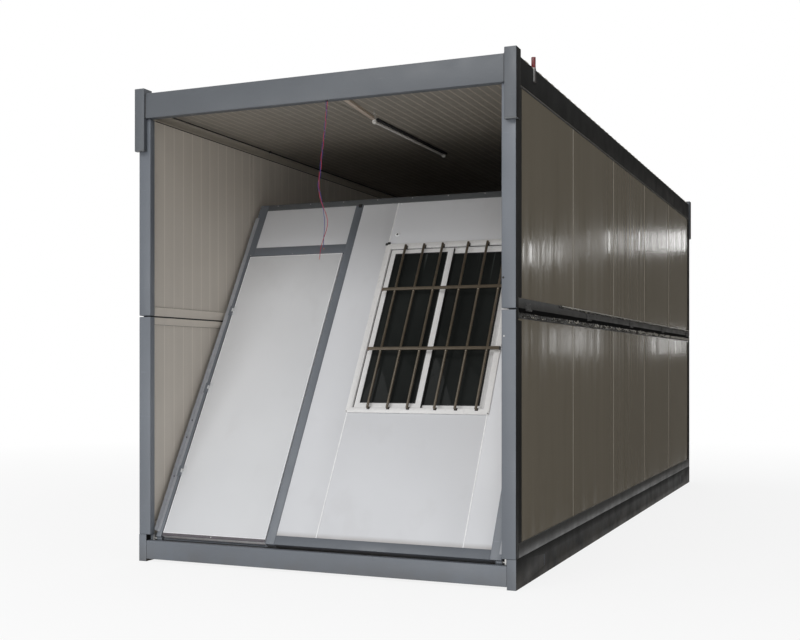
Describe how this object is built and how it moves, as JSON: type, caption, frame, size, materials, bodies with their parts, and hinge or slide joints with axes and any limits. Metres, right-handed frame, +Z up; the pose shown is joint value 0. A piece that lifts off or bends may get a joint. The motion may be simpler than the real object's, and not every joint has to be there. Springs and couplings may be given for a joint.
{
  "type": "folding container house",
  "caption": "Folding steel-framed container house with hinged side walls, a tilting end wall with a door and a barred window.",
  "frame": {"origin": "centre of the footprint at ground level", "axes": "+X to the right seen from the front, +Y from the front end to the rear, +Z up"},
  "size_m": [2.11, 5.91, 2.577],
  "materials": {
    "frame_steel": "satin blue-grey paint",
    "side_steel": "satin dark grey paint",
    "deck_board": "sealed board",
    "wall_panel": "glossy taupe outside, satin beige inside",
    "ceiling_panel": "satin beige, ribbed",
    "roof_sheet": "satin grey, corrugated",
    "end_panel": "satin light grey",
    "door_panel": "satin light grey",
    "edge_strip": "satin beige-grey",
    "hinge_steel": "dull steel",
    "white_plastic": "matt white",
    "black_rubber": "matt black",
    "red_wire": "satin red insulation",
    "blue_wire": "satin blue insulation",
    "red_paint": "worn dark red paint",
    "window_white": "white window profile",
    "dark_glass": "dark glass",
    "bronze_bar": "bronze-brown tube"
  },
  "bodies": {
    "house": {"base_front_beam": "frame_steel", "base_rear_beam": "frame_steel", "base_left_beam": "side_steel", "base_right_beam": "side_steel", "floor_joists": "side_steel", "floor_deck": "deck_board", "left_wall_posts": "frame_steel", "left_wall_rails": "side_steel", "left_wall_panels": "wall_panel", "left_fold_hinges": "hinge_steel", "right_wall_posts": "frame_steel", "right_wall_rails": "side_steel", "right_wall_panels": "wall_panel", "right_fold_hinges": "hinge_steel", "roof_front_beam": "frame_steel", "roof_rear_beam": "frame_steel", "roof_left_beam": "side_steel", "roof_right_beam": "side_steel", "roof_corners": "frame_steel", "ceiling_panels": "ceiling_panel", "roof_sheet": "roof_sheet", "rear_wall_stiles": "frame_steel", "rear_wall_rails": "frame_steel", "rear_wall_panels": "end_panel", "ceiling_light": "white_plastic", "cable_trunking": "white_plastic", "wire_gland": "black_rubber", "wire_red": "red_wire", "wire_blue": "blue_wire", "lifting_bar": "red_paint", "front_wall_pivots": "hinge_steel"},
    "front_wall": {"front_wall_stiles": "frame_steel", "front_wall_mullion": "frame_steel", "front_wall_transom_bar": "frame_steel", "front_wall_rails": "frame_steel", "front_wall_panels": "end_panel", "front_wall_edge_strips": "edge_strip", "window_frame": "window_white", "window_sashes": "window_white", "window_glass": "dark_glass", "window_guard": "bronze_bar", "cable_grommet": "white_plastic", "door_hinge_barrels": "hinge_steel"},
    "door": {"door_leaf": "door_panel", "door_hinge_leaves": "hinge_steel"}
  },
  "joints": [
    {"name": "front_wall_tilt", "type": "hinge", "parent": "house", "child": "front_wall", "pos_m": [0, -2.865, 0.119], "axis": [1, 0, 0], "range_deg": [-57.5, 32.5]},
    {"name": "door_swing", "type": "hinge", "parent": "front_wall", "child": "door", "pos_m": [-0.929, -2.3834, 0.93266], "axis": [0, -0.5373, -0.8434], "range_deg": [0, 90]}
  ]
}
